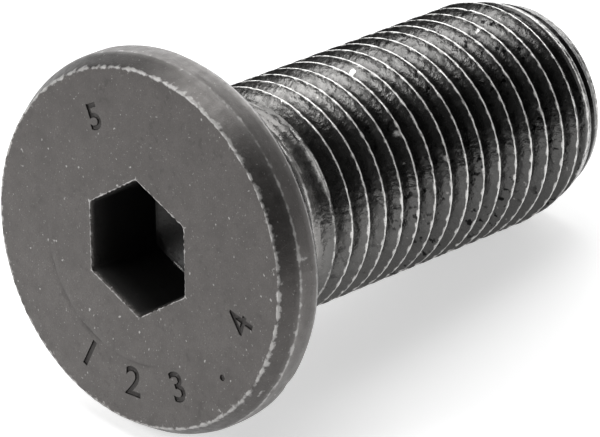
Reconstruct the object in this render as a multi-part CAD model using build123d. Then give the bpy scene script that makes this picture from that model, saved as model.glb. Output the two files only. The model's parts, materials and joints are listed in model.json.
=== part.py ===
from build123d import *
import os
from math import atan, cos, degrees, radians, sin, tan

# Countersunk socket screw, M14 x 1.5 x 35: one piece of steel, cold forged, with a rolled thread.
# It is modelled upright about its own axis, with the head face at height 0 and the tip at height "length".
# Last of all it is laid on its side, as it comes to rest: on the rim of its head and the end of its shank.
# The fine thread is given by the cylinder over its crests, between its run-out and its tapered tip.

# ---------------------------------------------------------------- driving dimensions, in mm and degrees
length = 35.0  # head face to tip

head_diameter = 23.0  # over the rim
face_bevel_width = 0.65  # bevel round the head face, across
face_bevel_height = 1.25  # the same bevel, along the axis
rim_height = 1.45  # straight band of the rim
countersink_angle = 90.0  # whole angle of the cone under the rim
neck_fillet = 0.6  # radius in the corner between the cone and the neck
neck_length = 0.4  # plain neck between the cone and the thread

thread_diameter = 14.0  # over the crests
thread_pitch = 1.5
run_out_turns = 1.0  # turns in which the thread rises from the neck to its full diameter

tip_diameter = 12.0  # flat end of the screw
tip_taper_length = 3.5  # incomplete threads at the tip

key_size = 7.0  # hexagon key that drives the screw
key_clearance = 0.1  # socket over key, across flats
socket_depth = 5.5  # face to the foot of the six flats
socket_floor_angle = 120.0  # whole angle of the cone at the socket's floor
socket_phase = 21.0  # from straight up, about the axis, to the middle of a flat
mouth_bevel = 0.12  # broken edge round the socket's mouth

# a thread is rolled on a blank that is thinner than the thread, by this many pitches
BLANK_IN_PITCHES = 0.6495

# ---------------------------------------------------------------- sizes that follow
head_radius = head_diameter / 2
face_radius = head_radius - face_bevel_width
crest_radius = thread_diameter / 2
neck_radius = crest_radius - BLANK_IN_PITCHES * thread_pitch / 2
tip_radius = tip_diameter / 2

rim_foot = face_bevel_height + rim_height
cone_foot = rim_foot + (head_radius - neck_radius) / tan(radians(countersink_angle / 2))
thread_start = cone_foot + neck_length
full_thread_start = thread_start + run_out_turns * thread_pitch
taper_start = length - tip_taper_length

socket_flats = key_size + key_clearance
socket_floor_drop = socket_flats / 2 / tan(radians(socket_floor_angle / 2))


def turned_blank():
    """The outline of the whole screw before its socket, spun about the axis."""
    outline = Polyline(
        (0, 0),
        (face_radius, 0),
        (head_radius, face_bevel_height),
        (head_radius, rim_foot),
        (neck_radius, cone_foot),
        (neck_radius, thread_start),
        (crest_radius, full_thread_start),
        (crest_radius, taper_start),
        (tip_radius, length),
        (0, length),
        close=True,
    )
    section = make_face(outline)
    neck_corner = section.vertices().sort_by_distance((neck_radius, cone_foot))[0]
    return revolve(Plane.XZ * fillet(neck_corner, neck_fillet), Axis.Z)


def hexagon_socket():
    """The driving socket: six flats, and a shallow cone where the punch ended."""
    hexagon = RegularPolygon(socket_flats / 2, 6, major_radius=False, rotation=socket_phase)
    prism = extrude(hexagon, socket_depth)
    floor_cone = Pos(0, 0, socket_depth) * Cone(
        socket_flats / 2, 0, socket_floor_drop, align=(Align.CENTER, Align.CENTER, Align.MIN)
    )
    return prism + floor_cone


def screw():
    """The finished screw, upright, with its head face down at height 0."""
    body = turned_blank() - hexagon_socket()
    mouth = body.faces().sort_by(Axis.Z)[0].edges().filter_by(GeomType.LINE)
    return chamfer(mouth, mouth_bevel)


def laid_down(shape):
    """The screw at rest on its side: its axis leans from the rim down to the end of the full thread."""
    lean = atan((head_radius - crest_radius) / (taper_start - rim_foot))
    lying = Plane(origin=(0, 0, 0), x_dir=(sin(lean), 0, cos(lean)), z_dir=(cos(lean), 0, -sin(lean)))
    shape = lying.location * shape
    box = shape.bounding_box()
    print(f"leans {degrees(lean):.2f} degrees")
    return Pos(-box.center().X, -box.center().Y, -box.min.Z) * shape


screw_body = laid_down(screw())
os.makedirs("parts", exist_ok=True)
export_step(screw_body, "parts/screw.step")
print(f"screw: {screw_body.volume:.1f} mm3, box {screw_body.bounding_box().size}")
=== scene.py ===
# %% [markdown]
# # A blackened countersunk screw, one cell at a time
#
# The real object is one piece of steel. A press forges the head and punches the hexagon socket, two
# dies roll the thread, and a hot salt bath turns the whole surface black. We build its surface as one
# closed mesh, lay it on the floor where the solid model lies, and then give each part a finish for the
# way in which it was made and worn.
#
# This first cell loads the solid model. It is our ruler: nothing that we build may leave its box.

# %% Load the solid model as a fixed frame
import json
import math

import bmesh
import bpy
import numpy as np
from mathutils import Matrix, Vector


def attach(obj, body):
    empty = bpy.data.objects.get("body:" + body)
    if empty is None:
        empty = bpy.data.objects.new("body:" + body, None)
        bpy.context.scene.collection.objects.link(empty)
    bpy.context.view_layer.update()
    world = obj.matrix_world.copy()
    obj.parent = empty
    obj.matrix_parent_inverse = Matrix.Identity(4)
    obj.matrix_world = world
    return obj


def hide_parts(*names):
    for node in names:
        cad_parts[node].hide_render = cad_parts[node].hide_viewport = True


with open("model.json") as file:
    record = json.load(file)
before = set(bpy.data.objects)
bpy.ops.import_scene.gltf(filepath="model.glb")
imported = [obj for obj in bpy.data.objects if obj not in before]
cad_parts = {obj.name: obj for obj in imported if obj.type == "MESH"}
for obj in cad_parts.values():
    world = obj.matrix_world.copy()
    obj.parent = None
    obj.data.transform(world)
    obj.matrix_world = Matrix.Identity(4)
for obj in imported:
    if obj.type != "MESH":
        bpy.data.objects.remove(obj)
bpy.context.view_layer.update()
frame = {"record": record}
mounts = {mount["name"]: mount for mount in frame["record"]["mounts"]}

# %% [markdown]
# ## Where the screw lies
#
# A screw is easiest to model upright: height 0 at the head face, and height rising towards the tip. The
# real one lies on its side, though, on the rim of its head and the end of its thread. So we build it
# upright and let one matrix lay it down. The solid model names the middle of its face and the way its
# axis points, and from those two we get the matrix. Its first column is "up" as seen from the axis, so
# an angle of 0 on the screw is its top.

# %% Read the screw's place from the solid model
MM = 0.001
face_centre = Vector(mounts["hex_socket"]["pos_m"])
axis = Vector(mounts["thread"]["axis"]).normalized()
sideways = Vector((0, -1, 0))
upward = sideways.cross(axis)
lying = Matrix.Translation(face_centre) @ Matrix((upward, sideways, axis)).transposed().to_4x4()
print("the axis leans", round(math.degrees(math.asin(-axis.z)), 2), "degrees towards the tip")

# %% [markdown]
# ## The sizes
#
# This is an M14 screw with a fine thread of 1.5 mm pitch. We keep the sizes in millimetres, as a maker
# would, and turn them into metres only when the mesh is made. What the solid model states is read from
# it. The head comes first: its face, the bevel round it, the straight rim, and the hexagon socket.

# %% Name the sizes of the head and socket, in millimetres and degrees
head_radius = mounts["head_rim"]["dims"]["r_mm"]
bevel_width = 0.65
bevel_height = 1.25
face_radius = head_radius - bevel_width
rim_foot = bevel_height + mounts["head_rim"]["dims"]["length_mm"]

socket_flats = 7.1
socket_depth = mounts["hex_socket"]["dims"]["length_mm"]
socket_phase = 21.0
mouth_bevel = 0.12
print("head", 2 * head_radius, "mm across, socket", socket_flats, "mm across flats")

# %% [markdown]
# The cone under the head falls at 45 degrees, so it is as high as it is wide. The standard for metric
# threads gives the depth of the groove as a share of the pitch. The bar that the thread is rolled into
# is thinner than its crests, because the dies push steel up out of the grooves, and the short neck
# keeps the size of that bar.

# %% Name the sizes of the neck, thread and tip
GROOVE_SHARE = 0.6134
BAR_SHARE = 0.6495
crest_radius = mounts["thread"]["dims"]["r_mm"]
pitch = 1.5
root_radius = crest_radius - GROOVE_SHARE * pitch
neck_radius = crest_radius - BAR_SHARE * pitch / 2
cone_foot = rim_foot + head_radius - neck_radius
neck_length = 0.4
thread_start = cone_foot + neck_length
full_thread_start = thread_start + pitch
thread_phase = 310.0
length = 35.0
taper_start = length - 3.5
tip_radius = 6.0
print("the thread has", round((length - thread_start) / pitch, 1), "turns")

# %% [markdown]
# ## A grid that wraps round the screw
#
# Every part of the surface goes right round the axis, so one grid can carry all of it. Its columns are
# angles and its rows run from the floor of the socket, over the head and along the shank, to the middle
# of the tip. We want a column on each corner of the hexagon, so the count divides by six and the first
# column starts at a corner.

# %% Lay out the columns
COLUMNS = 288
first_corner = math.radians(socket_phase + 30)
angles = first_corner + np.arange(COLUMNS) * 2 * math.pi / COLUMNS
print("one column every", 360 / COLUMNS, "degrees")

# %% [markdown]
# ## Small unevenness
#
# Forged and rolled steel is never quite even: an edge wanders by a few hundredths of a millimetre. We
# need numbers that wander smoothly along an edge and are the same each time, so a few sine waves with
# fixed random phases do.

# %% A smooth wandering value
dice = np.random.default_rng(14)


def wander(position, wavelength, waves=7):
    """A smooth value near -1 to 1 that changes over about one wavelength of the position."""
    total = np.zeros_like(position, dtype=float)
    for _ in range(waves):
        stretch = dice.uniform(0.6, 1.9)
        phase = dice.uniform(0, 2 * math.pi)
        total += np.sin(2 * math.pi * position * stretch / wavelength + phase)
    return total / math.sqrt(waves)


def around(angle, waves, count=6):
    """The same for an angle: it closes on itself after a full turn."""
    total = np.zeros_like(angle, dtype=float)
    for _ in range(count):
        cycles = dice.integers(max(1, waves // 2), waves * 2)
        total += np.sin(cycles * angle + dice.uniform(0, 2 * math.pi))
    return total / math.sqrt(count)


print("a wandering edge:", np.round(around(angles[:5], 20), 2))

# %% [markdown]
# ## The hexagon socket
#
# The punch left six flats, a shallow cone for a floor, and a thin worn edge round the mouth. A hexagon
# is a circle whose radius swells towards six corners, so we give each row half its width across flats
# and work out the radius of each column. The very corner is blunt on a real punch, so the radius is
# capped just short of it.

# %% A hexagon and a row of the grid
CORNER_CAP = 0.985


def hexagon(half_flats):
    """The radius of each column, for a hexagon of this half width across flats."""
    from_flat = (angles - first_corner) % (math.pi / 3) - math.pi / 6
    return np.minimum(half_flats / np.cos(from_flat), half_flats / math.cos(math.pi / 6) * CORNER_CAP)


def ring(radius, height):
    """One row of the grid: a radius and a height for every column."""
    return np.broadcast_to(radius, COLUMNS), np.broadcast_to(height, COLUMNS)


half_flats = socket_flats / 2
print("the corners of the socket are", round(2 * float(hexagon(half_flats).max()), 2), "mm apart")

# %% [markdown]
# The rows start at the middle of the floor and climb out of the socket. They stand closer together at
# the foot of the flats and at the mouth, where the surface turns. The face lies a hair under the height
# of the solid's, which leaves room for the burr at its edge.

# %% Rows of the socket, from the middle of its floor to the mouth
FLOOR_CONE = 120
floor_drop = half_flats / math.tan(math.radians(FLOOR_CONE / 2))
face_height = 0.02
rows = []
for share in (0, 0.2, 0.4, 0.6, 0.8, 0.97):
    rows.append(ring(half_flats * share, socket_depth + floor_drop * (1 - share)))
rows.append(ring(half_flats, socket_depth))
rows.append(ring(hexagon(half_flats - 0.15), socket_depth - 0.01))
rows.append(ring(hexagon(half_flats - 0.04), socket_depth - 0.06))
for depth in (5.3, 4.6, 3.7, 2.8, 2.0, 1.3, 0.8, 0.45):
    rows.append(ring(hexagon(half_flats), depth))
mouth_wander = 0.025 * around(angles, 40)
rows.append(ring(hexagon(half_flats + 0.01), mouth_bevel * 1.9 + mouth_wander))
rows.append(ring(hexagon(half_flats + mouth_bevel * 0.7), mouth_bevel * 0.7))
rows.append(ring(hexagon(half_flats + mouth_bevel) + mouth_wander, face_height * 0.4))
rows.append(ring(hexagon(half_flats + mouth_bevel + 0.08) + mouth_wander, face_height))
print("socket rows:", len(rows))

# %% [markdown]
# ## The face
#
# The press squeezed the face flat. Part of a faint ring shows where the edge of the punch pressed: it is
# deepest at one angle and fades to both sides, so we give the ring a share of its depth at each column.

# %% Rows of the face, with the mark of the punch
punch_radius = 7.1
punch_depth = 0.05
PUNCH_LEAN = 200
PUNCH_SPREAD = 55
from_punch_lean = (np.degrees(angles) - PUNCH_LEAN + 180) % 360 - 180
punch_fade = np.exp(-((from_punch_lean / PUNCH_SPREAD) ** 4))
punch_share = np.clip(0.6 + 0.6 * around(angles, 12), 0.1, 1) * punch_fade
punch_mark = punch_depth * punch_share
rows.append(ring(hexagon(half_flats + 0.45), face_height))
for ring_radius in (4.75, 5.4, 6.1, 6.6, punch_radius - 0.16):
    rows.append(ring(ring_radius, face_height))
rows.append(ring(punch_radius - 0.07, face_height + punch_mark * 0.7))
rows.append(ring(punch_radius, face_height + punch_mark))
rows.append(ring(punch_radius + 0.1, face_height + 0.2 * punch_mark))
for ring_radius in (7.4, 8.1, 8.8, 9.5, 10.15, face_radius - 0.2):
    rows.append(ring(ring_radius, face_height))
print("rows up to the edge of the face:", len(rows))

# %% [markdown]
# ## The bevel and the rim
#
# Where the face meets the bevel the press left a fine burr. After the bevel comes the straight rim,
# which takes the knocks, so its edges wander a little and have small nicks. A nick is a smooth dent
# round one angle, and a list of angles puts each one in its place.

# %% Rows of the bevel and the rim


def nick(angle_degrees, width_degrees):
    """A smooth dent round one angle, 1 at its middle."""
    off_nick = (np.degrees(angles) - angle_degrees + 180) % 360 - 180
    return np.exp(-((off_nick / width_degrees) ** 2))


burr = 0.018 * np.clip(around(angles, 60), -1, 1) - 0.13 * nick(117, 1.3) - 0.06 * nick(104, 0.9)
rows.append(ring(face_radius - 0.12 + burr, face_height))
rows.append(ring(face_radius - 0.05 + burr, face_height * 0.3))
rows.append(ring(face_radius + burr, face_height * 0.8 + 0.02))
rows.append(ring(face_radius + 0.06, 0.14))
for share in (0.3, 0.5, 0.7, 0.88):
    rows.append(ring(face_radius + share * (head_radius - face_radius), bevel_height * share))

rim_dents = 0.12 * nick(118, 1.5) + 0.06 * nick(75, 1.0) + 0.05 * nick(12, 1.8) + 0.06 * nick(230, 1.4)
rim_wander = 0.012 * (1 + np.clip(around(angles, 14), -1, 1))
rim_radius = head_radius - rim_wander
rows.append(ring(rim_radius - 0.03 - rim_dents, bevel_height - 0.02))
rows.append(ring(rim_radius, bevel_height + 0.14))
for share in (0.35, 0.6, 0.85):
    rows.append(ring(rim_radius - 0.4 * rim_dents, bevel_height + share * (rim_foot - bevel_height)))
rows.append(ring(rim_radius - 0.03 - rim_dents, rim_foot - 0.11))
rows.append(ring(head_radius - 0.1 - rim_dents, rim_foot - 0.01))
print("deepest nick in the rim:", round(float(rim_dents.max()), 3), "mm")

# %% [markdown]
# ## The cone and the neck
#
# Behind the rim the cone runs down to the neck, with a small round in the corner. That round is two rows
# close together, which is enough for an edge this small.

# %% Rows of the cone and the neck
cone_width = head_radius - neck_radius
cone_rise = cone_foot - rim_foot
for share in (0.05, 0.15, 0.3, 0.45, 0.6, 0.75, 0.88, 0.95):
    rows.append(ring(head_radius - share * cone_width, rim_foot + share * cone_rise))
rows.append(ring(neck_radius + 0.06, cone_foot + 0.08))
rows.append(ring(neck_radius, cone_foot + 0.28))
print("rows from the socket to the neck:", len(rows))

# %% [markdown]
# ## The rolled thread
#
# A thread is a groove that climbs one pitch each turn. Its section repeats: a narrow flat crest, a flank
# at 30 degrees, a rounded root and the other flank. Modelling it as a height map would need a very fine
# grid and still leave ragged crests. Instead the rows themselves climb with the groove, so each crest
# edge is one clean line of vertices. Near the tip the bar tapers, so the last turns are incomplete.

# %% The shape of one groove
FLANK = math.tan(math.radians(30))
FLANK_EASE = 0.99
ROOT_ROUND = 0.05
crest_flat = 0.075
root_half_width = (pitch - crest_flat) / 2 - (crest_radius - root_radius) * FLANK
shoulder_height = 33.5
shoulder_radius = 6.52


def crest_at(height):
    """The radius that the crests reach: low at the run-out, full along the shank, less at the tip."""
    heights = [thread_start, full_thread_start, taper_start, shoulder_height, length]
    radii = [neck_radius, crest_radius, crest_radius, shoulder_radius, tip_radius]
    return np.interp(height, heights, radii)


def turns_from_groove(angle, height):
    """How many turns a point lies past the middle of the first groove. Whole numbers are in a groove."""
    return (height - thread_start) / pitch - (angle - math.radians(thread_phase)) / (2 * math.pi)


def groove_surface(angle, height):
    """The radius of the groove's root and flanks at an angle and a height, as if they went on for ever."""
    root = np.interp(height, [thread_start, full_thread_start], [neck_radius, root_radius])
    groove_turns = turns_from_groove(angle, height)
    from_middle = np.abs(groove_turns - np.round(groove_turns)) * pitch
    past_root = np.maximum(from_middle - 0.3 * root_half_width, 0)
    soft_bottom = np.sqrt(past_root**2 + ROOT_ROUND**2) - ROOT_ROUND
    return root + soft_bottom / FLANK * FLANK_EASE


def thread_surface(angle, height):
    """The same with the crests cut off at their height."""
    return np.minimum(groove_surface(angle, height), crest_at(height))


print("thread depth:", round(crest_radius - root_radius, 3), "mm, crest flat:", crest_flat, "mm")

# %% [markdown]
# Now the rows of one pitch. They crowd at the two edges of the crest, where the light catches, and at
# the root, where the section turns. The last row of each turn is the first row of the next, shifted by a
# whole turn. At the neck and the tip, rows are held at the end of the thread.

# %% Rows that climb with the groove
crest_edge = 0.5 - crest_flat / pitch / 2
half_pitch = [0, 0.09, 0.18, 0.27, 0.37, crest_edge - 0.022, crest_edge]
one_pitch = half_pitch + [0.5] + [1 - share for share in reversed(half_pitch[1:])]
climb = (angles - math.radians(thread_phase)) / (2 * math.pi)
first_turn = math.floor(-1 - climb[0])
last_turn = math.ceil((length - thread_start) / pitch + 1) + 1
turn_rows = np.concatenate([np.array(one_pitch) + turn for turn in range(first_turn, last_turn)])
thread_heights = thread_start + pitch * (turn_rows[:, None] + climb[None, :])
thread_heights = np.clip(thread_heights, thread_start, length)
thread_radii = thread_surface(angles[None, :], thread_heights)
print("thread rows:", len(turn_rows), "of", len(one_pitch), "to a pitch")

# %% [markdown]
# ## Worn and knocked crests
#
# Rolled crests are a little ragged, and the flanks are not quite smooth either. We lower both by small
# wandering amounts, always inwards, so the screw never outgrows its size. A big step from row to row
# keeps the crests from wandering in the same way on every turn.

# %% Make the crests and flanks uneven
ROW_STEP = 9
off_groove = turns_from_groove(angles[None, :], thread_heights)
off_groove = np.abs(off_groove - np.round(off_groove))
along = thread_heights * ROW_STEP + angles[None, :] * crest_radius
worn_down = 0.014 * (1 + np.clip(wander(along, 1.4), -1, 1)) * (off_groove > crest_edge - 0.01)
inside = (thread_heights > thread_start + 0.1) & (thread_heights < length - 0.1)
thread_radii = thread_radii - worn_down * inside
unevenness = dice.normal(0, 1, thread_radii.shape)
for neighbour in (1, 2, 3):
    unevenness = (unevenness + np.roll(unevenness, neighbour, axis=1)) / math.sqrt(2)
thread_radii = thread_radii - 0.003 * np.clip(1.5 + unevenness, 0, 3) * inside
print("the crests are worn by up to", round(float(worn_down.max()), 3), "mm")

# %% [markdown]
# Loose parts in a box knock dents into each other. We press ninety small ones at random. A few harder
# knocks have a place of their own in a list, because they bare the steel as well, and the finish has to
# find them again: each has an angle in degrees, a height and a size in millimetres.

# %% Knock the thread about a little
DENTS = 90
KNOCKS = [(2, 17.6, 0.27), (26, 17.95, 0.17), (46.5, 16.55, 0.3), (66.5, 19.7, 0.18), (1, 28.8, 0.2)]
KNOCKS += [(8, 28.35, 0.16), (61, 28.75, 0.2), (91.5, 24.8, 0.18), (51.5, 9.7, 0.15), (62, 16.5, 0.15)]
KNOCKS += [(150, 14.3, 0.12), (205, 22.1, 0.15), (262, 17.2, 0.1), (310, 26.4, 0.12)]
for number in range(DENTS + len(KNOCKS)):
    dent_angle = dice.uniform(0, 2 * math.pi)
    dent_height = dice.uniform(full_thread_start, length - 0.5)
    dent_size = dice.uniform(0.08, 0.2)
    dent_depth = dice.uniform(0.03, 0.09)
    if number >= DENTS:
        knock_angle, dent_height, dent_size = KNOCKS[number - DENTS]
        dent_angle = math.radians(knock_angle)
    across = ((angles - dent_angle + math.pi) % (2 * math.pi) - math.pi) * crest_radius
    away = (across[None, :] ** 2 + (thread_heights - dent_height) ** 2) / dent_size**2
    thread_radii = thread_radii - dent_depth * np.exp(-away) * inside
print("dents:", DENTS, "and harder knocks:", len(KNOCKS))

# %% [markdown]
# ## The tip
#
# The bar was sheared to length, so the tip ends in a plain flat face with a softened edge. A few rings
# close it.

# %% Rows of the tip
tip_rows = [ring(tip_radius * share, length) for share in (0.985, 0.8, 0.5, 0.25, 0)]
print("tip rows:", len(tip_rows))

# %% [markdown]
# ## Turning the rows into a mesh
#
# The head and tip rows join column to column. The thread rows do too, until the last column meets the
# first: there the groove has climbed one pitch, so each row joins the row one turn further on. Two
# helpers do this: one says which points make a face, the other where the points are.

# %% Faces and points of a block of rows


def grid_faces(count, start, shift=0):
    """Four-cornered faces between neighbouring rows, where the seam may step by a number of rows."""
    row, column = np.meshgrid(np.arange(count - 1), np.arange(COLUMNS), indexing="ij")
    step = np.where(column == COLUMNS - 1, shift, 0)
    this_row = np.minimum(row + step, count - 1)
    next_row = np.minimum(row + 1 + step, count - 1)
    next_column = (column + 1) % COLUMNS
    corners = [row * COLUMNS + column, this_row * COLUMNS + next_column]
    corners += [next_row * COLUMNS + next_column, (row + 1) * COLUMNS + column]
    return np.stack(corners, -1).reshape(-1, 4) + start


def points(radii, heights):
    """Places of rows given by radius and height."""
    return np.stack([radii * np.cos(angles), radii * np.sin(angles), heights], -1).reshape(-1, 3)


print("faces in a block of two rows:", len(grid_faces(2, 0)))

# %% [markdown]
# Now the blocks go together. Two short ones join the head to the thread and the thread to the tip, by
# repeating the row on each side of the gap.

# %% Join the blocks into one mesh
head_radii, head_heights = (np.array(part) for part in zip(*rows))
tip_radii, tip_heights = (np.array(part) for part in zip(*tip_rows))
head_points = points(head_radii, head_heights)
thread_points = points(thread_radii, thread_heights)
tip_points = points(tip_radii, tip_heights)
neck_join = np.vstack([head_points[-COLUMNS:], thread_points[:COLUMNS]])
tip_join = np.vstack([thread_points[-COLUMNS:], tip_points[:COLUMNS]])
blocks = [
    (head_points, len(rows), 0),
    (neck_join, 2, 0),
    (thread_points, len(turn_rows), len(one_pitch)),
    (tip_join, 2, 0),
    (tip_points, len(tip_rows), 0),
]
places = []
faces = []
used = 0
for block, count, shift in blocks:
    faces.append(grid_faces(count, used, shift))
    places.append(block)
    used += len(block)

mesh = bpy.data.meshes.new("screw_body")
mesh.from_pydata(np.vstack(places).tolist(), [], np.vstack(faces).tolist())
screw = bpy.data.objects.new("screw_body", mesh)
bpy.context.scene.collection.objects.link(screw)
print("points before merging:", len(mesh.vertices))

# %% [markdown]
# Rows that were held back at the ends of the thread lie on top of each other, and so do the rows at a
# join. Merging by distance turns them into clean triangles and closes the surface. A closed surface has
# two faces at every edge, so we count the edges that don't.

# %% Merge what touches and close the surface
TOUCHING = 1e-4
shell = bmesh.new()
shell.from_mesh(mesh)
bmesh.ops.remove_doubles(shell, verts=shell.verts, dist=TOUCHING)
bmesh.ops.dissolve_degenerate(shell, edges=shell.edges, dist=TOUCHING)
bmesh.ops.recalc_face_normals(shell, faces=shell.faces)
open_edges = sum(1 for edge in shell.edges if len(edge.link_faces) != 2)
print("volume in mm3:", round(shell.calc_volume(), 1), "open edges:", open_edges)
shell.to_mesh(mesh)
shell.free()
print("faces:", len(mesh.polygons))

# %% [markdown]
# ## Stamped numbers
#
# A punch presses marks into the soft steel before it is hardened. Ours are plain digits that mean
# nothing. Text objects give us the shapes. A bevelled edge makes each one widest where it crosses the
# face and narrower below, as a punch is. Those low on the face stand with their feet to the rim.

# %% The shape of one digit
stamp_depth = 0.13
TOP_INWARD = -1
TOP_OUTWARD = 1


def stamp(text, angle_degrees, radius, size, top_direction):
    """One digit as a solid that stands through the face, with its top away from the middle or to it."""
    letter = bpy.data.curves.new("stamp", "FONT")
    letter.body = text
    letter.size = size
    letter.align_x = "CENTER"
    letter.align_y = "CENTER"
    letter.offset = -0.05
    letter.extrude = stamp_depth * 0.3
    letter.bevel_depth = stamp_depth * 0.7
    letter.bevel_resolution = 1
    turn = math.radians(angle_degrees)
    outward = Vector((math.cos(turn), math.sin(turn), 0))
    top = outward * top_direction
    facing = Vector((0, 0, -1))
    standing = Matrix((top.cross(facing), top, facing)).transposed().to_4x4()
    solid = bpy.data.objects.new("stamp", letter)
    solid.matrix_world = Matrix.Translation(outward * radius + Vector((0, 0, face_height))) @ standing
    bpy.context.scene.collection.objects.link(solid)
    return solid


print("digits are pressed", stamp_depth, "mm deep")

# %% [markdown]
# Each digit becomes a mesh and all of them are gathered into one, so that a single boolean cut can press
# them into the face together.

# %% Gather the digits
row_radius = 8.42
row_size = 2.55
row_angles = (199.5, 175, 150.5, 126, 100.5)
stamps = [(text, turned, row_radius, row_size, TOP_INWARD) for text, turned in zip("123.4", row_angles)]
stamps.append(("5", 328, 7.95, 2.2, TOP_OUTWARD))

punches = bmesh.new()
for details in stamps:
    letter = stamp(*details)
    bpy.context.view_layer.update()
    shape = letter.to_mesh()
    shape.transform(letter.matrix_world)
    punches.from_mesh(shape)
    letter.to_mesh_clear()
    bpy.data.objects.remove(letter)
bmesh.ops.remove_doubles(punches, verts=punches.verts, dist=TOUCHING)
bmesh.ops.recalc_face_normals(punches, faces=punches.faces)
punch_mesh = bpy.data.meshes.new("punches")
punches.to_mesh(punch_mesh)
punches.free()
punch = bpy.data.objects.new("punches", punch_mesh)
bpy.context.scene.collection.objects.link(punch)
print("faces of the punches:", len(punch_mesh.polygons))

# %% [markdown]
# Working out where the digits cross the face by hand would be slow and easy to get wrong, so a boolean
# modifier cuts them. Both meshes are closed, and the solver for closed meshes keeps the result closed.

# %% Press them in
cut = screw.modifiers.new("stamp", "BOOLEAN")
cut.operation = "DIFFERENCE"
cut.object = punch
cut.solver = "MANIFOLD"
bpy.context.view_layer.update()
mesh = bpy.data.meshes.new_from_object(screw.evaluated_get(bpy.context.evaluated_depsgraph_get()))
screw.modifiers.clear()
screw.data = mesh
bpy.data.objects.remove(punch)
print("faces after stamping:", len(mesh.polygons))

# %% [markdown]
# ## Where the finish is worn, and where shade and light are painted
#
# Edges rub against other screws in the box, so the black wears off them first. Grooves, corners and the
# socket are darkened with painted shade. The mesh knows which vertices lie on an edge or in a groove, so
# we store three numbers at each vertex: how worn it is, with one painted highlight among the worn places;
# how dark it is, from painted shade and some thicker oxide; and how much a soft rub and painted light
# grey it without baring the steel. The materials read them later. We work them out from each vertex's
# radius, angle and height, with a helper for "close to this line" and one for "this far round from that
# angle".

# %% Read the vertices, and two helpers
coordinates = np.empty(len(mesh.vertices) * 3)
mesh.vertices.foreach_get("co", coordinates)
x, y, height = coordinates.reshape(-1, 3).T
radius = np.hypot(x, y)
angle = np.arctan2(y, x)


def near(distance, width):
    """1 on a line, falling smoothly to 0 away from it."""
    return np.exp(-((distance / width) ** 2))


def lean_from(degrees):
    """How far each vertex lies from one angle round the screw, in radians."""
    return (angle - math.radians(degrees) + math.pi) % (2 * math.pi) - math.pi


print("vertices:", len(height))

# %% [markdown]
# The crests come first. Bare steel shows along each one, and beside it in patches, like a string of
# beads that runs on from turn to turn, 43.9 mm at a time. The last turns are blunt, because the bar
# tapers there, and they wear over a wider band. The thread grows out of the neck, so it starts with no
# crest to wear.

# %% Worn crests
BEAD_STEP = 43.9
turns = turns_from_groove(angle, height)
off_groove = np.abs(turns - np.round(turns))
threaded = (height > thread_start) & (height < length - 0.02)
grown = np.clip(2 * (height - thread_start) / pitch - 1.2, 0, 1)
on_crest = 1.0 * (off_groove > crest_edge - 0.01)
beads = np.clip(0.7 + 0.4 * wander(np.round(turns) * BEAD_STEP + angle * crest_radius, 1.1), 0, 1)
beside_crest = beads * (off_groove > crest_edge - 0.03)
cut_short = groove_surface(angle, height) > crest_at(height) - 0.02
blunt = 0.55 * cut_short * (height > shoulder_height - 0.4)
crest_wear = np.maximum.reduce([on_crest, beside_crest, blunt]) * threaded * grown
crest_wear *= np.interp(height, [length - 1.2, length - 0.4], [1, 0.7])
print("vertices on a bare crest:", int((crest_wear > 0.5).sum()))

# %% [markdown]
# Then the other edges: the ragged burr round the face, both edges of the rim and the edge of the tip. At
# the corner of the neck a broken streak of bare steel is a painted highlight. On one side of the neck the
# first low crest is rubbed as well.

# %% Worn edges of the head and tip, and a painted highlight at the neck
ragged = 1.02 + 0.25 * np.clip(around(angle, 60), -1, 1)
edge_wear = ragged * near(np.hypot(radius - face_radius, height - 0.03), 0.17)
patchy = np.clip(0.92 + 0.3 * around(angle, 5) + 0.3 * around(angle, 60), 0, 1.1)
rim_front = near(np.hypot(radius - head_radius + 0.04, height - bevel_height + 0.02), 0.14)
rim_back = near(np.hypot(radius - head_radius + 0.03, height - rim_foot + 0.05), 0.16)
edge_wear += patchy * rim_front * (1 - 0.6 * near(lean_from(-15), 0.6)) + 0.7 * rim_back
streaks = np.clip(0.7 + 0.4 * around(angle, 9), 0, 1)
# The broken streak at the corner of the neck is a painted highlight, put in as bare steel.
edge_wear += 0.9 * streaks * near(height - cone_foot - 0.28, 0.22) * (radius < neck_radius + 0.1)
first_crest = near(height - full_thread_start + 0.42, 0.32) * (radius > neck_radius - 0.1)
edge_wear += 0.95 * first_crest * near(lean_from(47), 0.38)
edge_wear += 0.5 * near(np.hypot(radius - tip_radius, height - length), 0.15)
print("the face edge is worn by", round(float(ragged.min()), 2), "to", round(float(ragged.max()), 2))

# %% [markdown]
# The key wears a thin bright line round the mouth of the socket. Deep inside, a scrape of the key has
# left a short one where a flat meets the floor. Both follow the flats, so we measure how far each vertex
# lies from the flat nearest to it.

# %% Worn edges of the socket
from_flat = (angle - first_corner) % (math.pi / 3) - math.pi / 6
to_wall = radius * np.cos(from_flat) - half_flats
to_mouth = to_wall - mouth_bevel * 0.9
edge_wear += 1.1 * near(np.hypot(to_mouth, height - face_height), 0.07)
floor_edge = near(np.hypot(to_wall, height - socket_depth + 0.04), 0.14)
edge_wear += 1.5 * streaks * floor_edge * near(lean_from(196), 0.25)
wear = np.clip(crest_wear + edge_wear, 0, 1.2)
print("vertices on a bare edge:", int((edge_wear > 0.5).sum()))

# %% [markdown]
# The hard knocks bare the steel where they dented it, and so do two scratches, one on the rim and one on
# the bevel. Each scratch has an angle, a height and its size both ways. The steel is bare only near the
# outer surface, so deeper vertices are put out of reach.

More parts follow.
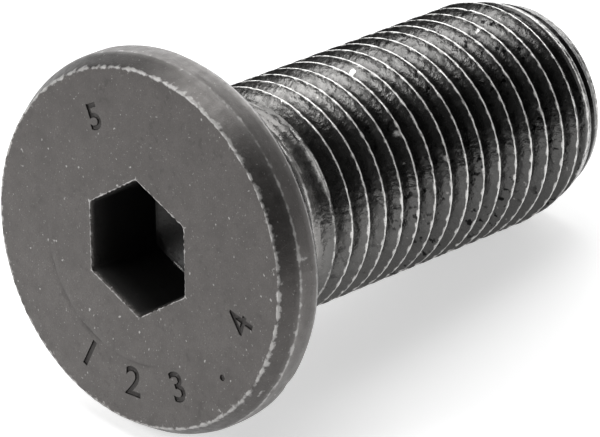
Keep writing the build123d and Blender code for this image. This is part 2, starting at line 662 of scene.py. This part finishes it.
# %% Bare knocks and scratches
OUT_OF_REACH = 9
scratches = [(73.5, 1.65, 0.1, 0.4), (119, 0.62, 0.6, 0.12)]
for knock_angle, knock_height, knock_size in KNOCKS:
    across = lean_from(knock_angle) * crest_radius
    away = np.hypot(across, height - knock_height) + OUT_OF_REACH * (radius < crest_radius - 0.8)
    wear = np.maximum(wear, near(away, knock_size))
for scratch_angle, scratch_height, across_size, along_size in scratches:
    across = lean_from(scratch_angle) * head_radius / across_size
    away = np.hypot(across, (height - scratch_height) / along_size)
    away += OUT_OF_REACH * (radius < face_radius - 0.1)
    wear = np.maximum(wear, near(away, 1))
print("knocks and scratches:", len(KNOCKS) + len(scratches))

# %% [markdown]
# Now the dark places, most of them painted shade. The grooves, the stamped digits and the socket get
# painted shade, deeper down the socket, except on one side of its floor, which is left lighter as a
# painted
# lit patch. The mark of the punch gets a line of painted shade. The bevel, apart from its top, is darker:
# thicker oxide and painted shade in one. The thread gets darker towards the tip. The upper part of the
# face gets a little painted shade, and so does one side of the bevel, rim and cone. Each number in front
# of a place says how dark it gets, from 0 to 1.

# %% Painted shade and thick oxide: where the surface is darkened
corner_reach = half_flats * 1.16
below_socket = 9
# Painted shade in the grooves and in the stamped digits.
in_groove = np.clip(1 - off_groove / 0.22, 0, 1) * threaded * grown
stamped_in = np.clip((height - face_height - 0.02) / 0.06, 0, 1) * (height < 0.3)
stamped_in *= (radius > half_flats + 1.2) & (radius < face_radius - 0.3)
# Painted shade down the socket, with less of it on one side of its floor, a painted lit patch.
in_hole = (radius < corner_reach) * (height < below_socket)
on_floor = (radius * np.cos(from_flat) < half_flats - 0.1) * (height > socket_depth - 0.1)
floor_soot = 1 - 0.7 * near(lean_from(272), 0.8)
down_socket = np.where(on_floor, floor_soot, np.clip(height / 1.6, 0, 1)) * in_hole
# The bevel, apart from its top, and one side of the bevel, rim and cone get painted shade.
on_top = near(lean_from(20), 0.5)
upper_left = near(lean_from(-30), 0.6)
outside = (radius > face_radius) * (height < rim_foot + 0.2)
on_bevel = (height > 0.1) * (height < bevel_height - 0.1) * outside * (1 - on_top)
# A line of painted shade in the mark of the punch.
punch_share_here = np.interp(angle, angles, punch_share, period=2 * math.pi)
in_punch_mark = punch_share_here * near(radius - punch_radius, 0.08) * (height < 0.5)
# Darker towards the tip.
down_tip = np.interp(height, [shoulder_height - 0.6, length - 0.8], [0, 1])
on_face = (height < 0.1) * (radius > half_flats + 0.3)
# The face gets painted shade towards its top.
rise = np.cos(angle - math.radians(15)) * np.clip(radius / face_radius, 0, 1)
soot = in_groove + 0.4 * down_tip + 0.7 * stamped_in + down_socket + 0.25 * on_bevel
soot = np.maximum(np.clip(soot, 0, 1), 0.35 * in_punch_mark)
soot = np.clip(soot + 0.1 * (1 + rise) * on_face + 0.45 * upper_left * outside, 0, 1)
print("mean soot:", round(float(soot.mean()), 3))

# %% [markdown]
# Last, the greying. A soft rub greys both edges of the rim. The rest is painted light: the outside of the
# head is lighter at its top, and near its foot with a painted reflection of the floor, and the neck, the
# first turns of the thread and the lower part of the face are lighter too.

# %% Rub and painted light: where the black is greyed
# Painted light on the neck.
at_neck = near(height - cone_foot - 0.45, 0.65) * (radius < neck_radius + 0.35)
# Near the foot of the head, a painted reflection of the floor.
at_foot = near(lean_from(128), 0.6)
on_rim = (radius > head_radius - 0.2) * (height > bevel_height - 0.1)
# Painted light on the first turns, so the thread is lighter near the head.
first_turns = np.interp(height, [cone_foot + 1, cone_foot + 12], [0.22, 0]) * (height > cone_foot)
# Painted light on the top of the head, and the painted reflection near its foot.
rub = (0.3 * on_top + 0.08 * at_foot) * outside + 0.3 * at_foot * on_rim
# Painted light on the lower part of the face.
rub += 0.04 * (1 - rise) * on_face
rub = np.clip(rub + 0.85 * at_neck + first_turns + 0.4 * rim_front + 0.7 * rim_back, 0, 1)
print("mean rub:", round(float(rub.mean()), 3))

# %% [markdown]
# Named attributes carry the three numbers from the vertices to the materials. They move with the mesh,
# and no picture has to be painted for them.

# %% Store the three on the mesh
for name, values in (("wear", wear), ("soot", soot), ("rub", rub)):
    layer = mesh.attributes.new(name, "FLOAT", "POINT")
    layer.data.foreach_set("value", values.astype(np.float32))
    print(name, "covers", round(float((values > 0.5).mean()) * 100, 1), "% of the vertices")

# %% [markdown]
# ## Black oxide
#
# Blackening is a thin skin of iron oxide, not paint. It is nearly black where the steel was smooth, as
# on the rolled flanks, and a matte grey where the press left a rough face. Every finish of the screw is
# a variation of it, built as nodes, and a few short helpers keep the tree readable: a noise, a number
# spread from one range to another, two numbers combined, two colours mixed, and a painted attribute.

# %% Short names for the nodes


class Finish:
    """A new material, and short ways to add nodes to it."""

    def __init__(self, name):
        self.material = bpy.data.materials.new(name)
        self.material.use_nodes = True
        self.tree = self.material.node_tree
        self.shader = self.tree.nodes["Principled BSDF"]
        self.where = self.tree.nodes.new("ShaderNodeTexCoord").outputs["Object"]

    def feed(self, socket, value):
        """Set a socket to a number or a colour, or link it to another node's output."""
        if isinstance(value, tuple):
            socket.default_value = (*value, 1)
        elif isinstance(value, (int, float)):
            socket.default_value = value
        else:
            self.tree.links.new(value, socket)

    def noise(self, per_metre, detail=3.0):
        """A noise with about this many bumps to the metre."""
        node = self.tree.nodes.new("ShaderNodeTexNoise")
        self.feed(node.inputs["Scale"], per_metre)
        self.feed(node.inputs["Detail"], detail)
        self.feed(node.inputs["Vector"], self.where)
        return node.outputs["Fac"]

    def spread(self, value, low, high, to_low=0.0, to_high=1.0):
        """A value taken from one range to another and held inside it."""
        node = self.tree.nodes.new("ShaderNodeMapRange")
        for socket, number in zip(node.inputs[:5], (value, low, high, to_low, to_high)):
            self.feed(socket, number)
        return node.outputs["Result"]

    def maths(self, operation, first, second):
        """Two values combined."""
        node = self.tree.nodes.new("ShaderNodeMath")
        node.operation = operation
        self.feed(node.inputs[0], first)
        self.feed(node.inputs[1], second)
        return node.outputs["Value"]

    def blend(self, share, first, second):
        """Two colours mixed: none of the second where the share is 0, all of it where the share is 1."""
        node = self.tree.nodes.new("ShaderNodeMix")
        node.data_type = "RGBA"
        self.feed(node.inputs["Factor"], share)
        self.feed(node.inputs["A"], first)
        self.feed(node.inputs["B"], second)
        return node.outputs["Result"]

    def painted(self, layer):
        """One of the numbers that we stored on the mesh."""
        node = self.tree.nodes.new("ShaderNodeAttribute")
        node.attribute_name = layer
        return node.outputs["Fac"]


print("helpers:", [name for name in vars(Finish) if not name.startswith("_")])

# %% [markdown]
# First the skin itself. Its grey is a little cloudy and has a fine grain. Small pale grains sit on it,
# and small dark pits come in patches, though not where a rub and painted light grey the surface. We keep
# the grain and the pits, because the relief needs them too.

# %% The skin, with its grains and pits
PALE = (0.4, 0.39, 0.38)
DARK = (0.008, 0.008, 0.008)


def skin_colour(finish, skin, grain, pits):
    """The colour of the oxide before it is rubbed or worn, and the fine grain and pits that it has."""
    darker = tuple(value * 0.9 for value in skin)
    lighter = tuple(value * 1.08 for value in skin)
    grainy = tuple(value * 0.75 for value in skin)
    colour = finish.blend(finish.spread(finish.noise(600), 0.35, 0.65), darker, lighter)
    fine = finish.noise(11000, 2.0)
    colour = finish.blend(finish.spread(fine, 0.3, 0.7, 0, 0.8), colour, grainy)
    large_grains = finish.spread(finish.noise(3300, 1.0), 0.73, 0.79)
    colour = finish.blend(finish.maths("MULTIPLY", large_grains, grain), colour, PALE)
    small_grains = finish.spread(finish.noise(7000, 1.0), 0.68, 0.76)
    colour = finish.blend(finish.maths("MULTIPLY", small_grains, 0.35 * grain), colour, PALE)
    patches = finish.maths("MULTIPLY", finish.spread(finish.noise(420, 1.0), 0.48, 0.6), pits)
    pitted = finish.maths("MULTIPLY", finish.spread(finish.noise(2400, 4.0), 0.42, 0.37), patches)
    not_rubbed = finish.spread(finish.painted("rub"), 0.1, 0.4, 1, 0)
    pitted = finish.maths("MULTIPLY", pitted, not_rubbed)
    return finish.blend(pitted, colour, DARK), fine, pitted


print("pits are", DARK, "and grains are", PALE)

# %% [markdown]
# Then the wear and the painted light and shade. Rubbed places and places of painted light turn grey, and
# places of painted shade and thick oxide turn dark. Where the skin has gone, bare steel shows in a broken
# line, and the painted highlight at the neck is bare steel too. That steel is scratched, so it scatters
# light and is made less mirror-like than the skin. Waves far wider than the grain bend the reflections on
# the flanks.

# %% The whole finish
GREYED = (0.36, 0.35, 0.34)
BARE_METALLIC = 0.45
relief_height = 0.04 * MM


def oxide(name, skin, bare, roughness, metallic, grain, pits, breaks, bumps, waves):
    """A blackened steel: the colours of its skin and bare edges, then how rough, metallic and so on."""
    finish = Finish(name)
    noise, spread, maths, blend = finish.noise, finish.spread, finish.maths, finish.blend
    colour, fine, pitted = skin_colour(finish, skin, grain, pits)
    # The greying stands for rubs and painted light; the darkening for painted shade and thick oxide.
    uneven_rub = spread(noise(1500, 4.0), 0.3, 0.6, 0.5, 1)
    rubbed = maths("MULTIPLY", finish.painted("rub"), uneven_rub)
    colour = blend(rubbed, colour, GREYED)
    colour = blend(maths("MULTIPLY", finish.painted("soot"), 0.8), colour, DARK)
    broken = spread(noise(2800, 3.0), 0.3, 0.7, -breaks, breaks)
    bare_steel_share = spread(maths("ADD", finish.painted("wear"), broken), 0.52, 1.02)
    finish.feed(finish.shader.inputs["Base Color"], blend(bare_steel_share, colour, bare))
    scattering = maths("MAXIMUM", bare_steel_share, maths("MULTIPLY", rubbed, 0.8))
    finish.feed(finish.shader.inputs["Metallic"], spread(scattering, 0, 1, metallic, BARE_METALLIC))
    rough = maths("ADD", spread(noise(1800), 0.3, 0.7, -0.08, 0.08), roughness)
    finish.feed(finish.shader.inputs["Roughness"], rough)

    relief = finish.tree.nodes.new("ShaderNodeBump")
    finish.feed(relief.inputs["Strength"], bumps)
    finish.feed(relief.inputs["Distance"], relief_height)
    level = maths("ADD", fine, maths("MULTIPLY", noise(2300, 2.0), waves))
    finish.feed(relief.inputs["Height"], maths("SUBTRACT", level, pitted))
    finish.feed(finish.shader.inputs["Normal"], relief.outputs["Normal"])
    return finish.material


print("relief of the grain:", relief_height / MM, "mm")

# %% [markdown]
# The three finishes differ only in numbers. The face is rough, so it is matte and grainy. The rolled
# thread is smooth and dark, with strong waves, and its crests are nearly white where they are bare. The
# socket is in between.

# %% The finishes of the face, thread and socket
DULL_STEEL = (0.46, 0.45, 0.44)
BRIGHT_STEEL = (0.95, 0.94, 0.92)
face_numbers = {"roughness": 0.42, "metallic": 0.8, "grain": 0.9, "pits": 0.15}
face_numbers.update({"breaks": 0.4, "bumps": 0.3, "waves": 0.5})
thread_numbers = {"roughness": 0.25, "metallic": 0.95, "grain": 0.4, "pits": 1.0}
thread_numbers.update({"breaks": 0.22, "bumps": 0.15, "waves": 8.0})
socket_numbers = {"roughness": 0.4, "metallic": 0.6, "grain": 0.2, "pits": 0.3}
socket_numbers.update({"breaks": 0.3, "bumps": 0.3, "waves": 0.5})
finishes = [
    oxide("face_oxide", (0.118, 0.11, 0.106), DULL_STEEL, **face_numbers),
    oxide("thread_oxide", (0.1, 0.099, 0.097), BRIGHT_STEEL, **thread_numbers),
    oxide("socket_oxide", (0.12, 0.117, 0.114), DULL_STEEL, **socket_numbers),
]
mesh.materials.clear()
for material in finishes:
    mesh.materials.append(material)
print("finishes:", [material.name for material in finishes])

# %% [markdown]
# Each face of the mesh now gets the finish of its place: the socket is what lies deeper than its mouth,
# the thread is everything from the cone to the tip, and the rest is the head. Smooth shading with sharp
# edges at more than 38 degrees keeps the crests crisp.

# %% Give each face its finish and smooth the shading
HEAD, THREAD, SOCKET = range(len(finishes))
for polygon in mesh.polygons:
    centre = polygon.center
    polygon.use_smooth = True
    if math.hypot(centre.x, centre.y) < corner_reach and 0.3 < centre.z < below_socket:
        polygon.material_index = SOCKET
    elif centre.z > rim_foot + 0.1:
        polygon.material_index = THREAD
    else:
        polygon.material_index = HEAD
mesh.set_sharp_from_angle(angle=math.radians(38))
counts = np.bincount([polygon.material_index for polygon in mesh.polygons])
print("faces of the head, thread and socket:", counts)

# %% [markdown]
# ## Laying it down
#
# The mesh is upright and in millimetres until now. The matrix from the first step lays it where the
# solid screw lies. We move the vertices themselves and leave the object at the origin, so that its box
# stays a tight one. It rides on the only body there is, and it takes the solid's place in the picture.

# %% Put the screw in the solid's place
mesh.transform(lying @ Matrix.Scale(MM, 4))
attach(screw, "root")
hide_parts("screw")
print("triangles:", sum(len(polygon.vertices) - 2 for polygon in mesh.polygons))

# %% [markdown]
# ## Floor, light and camera
#
# Polished black metal shows what is round it, so the floor and the light are as much a part of its look
# as the finish. The floor is white paper that takes the shadow. A little glow, which only the camera and
# reflections see, keeps it white without throwing more light on the screw.

# %% A pale floor
half_floor = 1.5
PAPER_WHITE = (0.82, 0.82, 0.82, 1)
PAPER_GLOW = 0.55
floor_mesh = bpy.data.meshes.new("floor")
floor_corners = [(-half_floor, -half_floor, 0), (half_floor, -half_floor, 0)]
floor_corners += [(half_floor, half_floor, 0), (-half_floor, half_floor, 0)]
floor_mesh.from_pydata(floor_corners, [], [(0, 1, 2, 3)])
floor = bpy.data.objects.new("floor", floor_mesh)
bpy.context.scene.collection.objects.link(floor)

paper = bpy.data.materials.new("white_paper")
paper.use_nodes = True
nodes, links = paper.node_tree.nodes, paper.node_tree.links
nodes["Principled BSDF"].inputs["Base Color"].default_value = PAPER_WHITE
nodes["Principled BSDF"].inputs["Roughness"].default_value = 0.9
nodes["Principled BSDF"].inputs["Specular IOR Level"].default_value = 0
glow = nodes.new("ShaderNodeEmission")
add = nodes.new("ShaderNodeAddShader")
path = nodes.new("ShaderNodeLightPath")
seen = nodes.new("ShaderNodeMath")
strength = nodes.new("ShaderNodeMath")
seen.operation = "MAXIMUM"
links.new(path.outputs["Is Camera Ray"], seen.inputs[0])
links.new(path.outputs["Is Glossy Ray"], seen.inputs[1])
strength.operation = "MULTIPLY"
strength.inputs[1].default_value = PAPER_GLOW
links.new(seen.outputs[0], strength.inputs[0])
links.new(strength.outputs[0], glow.inputs["Strength"])
links.new(nodes["Principled BSDF"].outputs[0], add.inputs[0])
links.new(glow.outputs[0], add.inputs[1])
links.new(add.outputs[0], nodes["Material Output"].inputs["Surface"])
floor_mesh.materials.append(paper)
print("floor:", 2 * half_floor, "m across")

# %% [markdown]
# To the camera the room is white beyond the far edge of the floor. The screw sees it as dim, which keeps
# the middle of the shank black.

# %% A dim room
room_level = 0.07
world = bpy.data.worlds.new("room")
world.use_nodes = True
bpy.context.scene.world = world
nodes, links = world.node_tree.nodes, world.node_tree.links
path = nodes.new("ShaderNodeLightPath")
level = nodes.new("ShaderNodeMapRange")
level.inputs["To Min"].default_value = room_level
level.inputs["To Max"].default_value = 1
links.new(path.outputs["Is Camera Ray"], level.inputs["Value"])
nodes["Background"].inputs["Color"].default_value = (1, 1, 1, 1)
links.new(level.outputs["Result"], nodes["Background"].inputs["Strength"])
print("room level:", room_level)

# %% [markdown]
# A soft light at the left draws the bright band on the flanks and one from above lights the head. Behind
# the screw glow a white card, for the crests and the top of the rim to reflect, and a grey card for
# their near side. All four are rectangles that face the middle of the screw.

# %% Soft lights
screw_middle = Vector((0, 0, 0.0115))


def softbox(name, direction, distance, width, tall, radiance):
    """A rectangular light that faces the screw. Radiance 1 looks white."""
    light = bpy.data.lights.new(name, "AREA")
    light.shape = "RECTANGLE"
    light.size = width
    light.size_y = tall
    light.energy = radiance * math.pi * width * tall
    towards = Vector(direction).normalized()
    lamp = bpy.data.objects.new(name, light)
    lamp.location = towards * distance + screw_middle
    lamp.rotation_mode = "QUATERNION"
    lamp.rotation_quaternion = (-towards).to_track_quat("-Z", "Y")
    lamp.visible_camera = False
    bpy.context.scene.collection.objects.link(lamp)
    print(name, "power", round(light.energy, 2), "W")


softbox("left_softbox", (-0.74, 0.42, 0.5), distance=0.4, width=0.25, tall=0.2, radiance=6.2)
softbox("top_softbox", (0.1, 0.25, 1.0), distance=0.6, width=0.5, tall=0.5, radiance=2.5)
softbox("white_card_behind", (0.72, 0.5, 0.32), distance=0.7, width=0.95, tall=0.5, radiance=2.6)
softbox("grey_card_behind", (0.78, -0.55, 0.34), distance=0.7, width=0.5, tall=0.5, radiance=0.45)

# %% [markdown]
# The camera stands in front of the head and to one side, and looks down on the screw from about a third
# of a right angle. A long lens keeps the far end of the screw nearly as large as the near end.

# %% Camera
camera_data = bpy.data.cameras.new("camera")
camera_data.lens = 379.27
camera_data.sensor_width = 36
camera_data.clip_start = 0.01
camera_data.clip_end = 10
camera = bpy.data.objects.new("camera", camera_data)
camera.location = (-0.24025, -0.21181, 0.206)
heading = math.radians(41.736)
dip = math.radians(31.986)
look = Vector((math.cos(dip) * math.cos(heading), math.cos(dip) * math.sin(heading), -math.sin(dip)))
camera.rotation_mode = "QUATERNION"
camera.rotation_quaternion = look.to_track_quat("-Z", "Y")
bpy.context.scene.collection.objects.link(camera)
bpy.context.scene.camera = camera
bpy.context.scene.view_settings.view_transform = "Standard"
print("camera", round(camera.location.length * 1000), "mm away")

# %% [markdown]
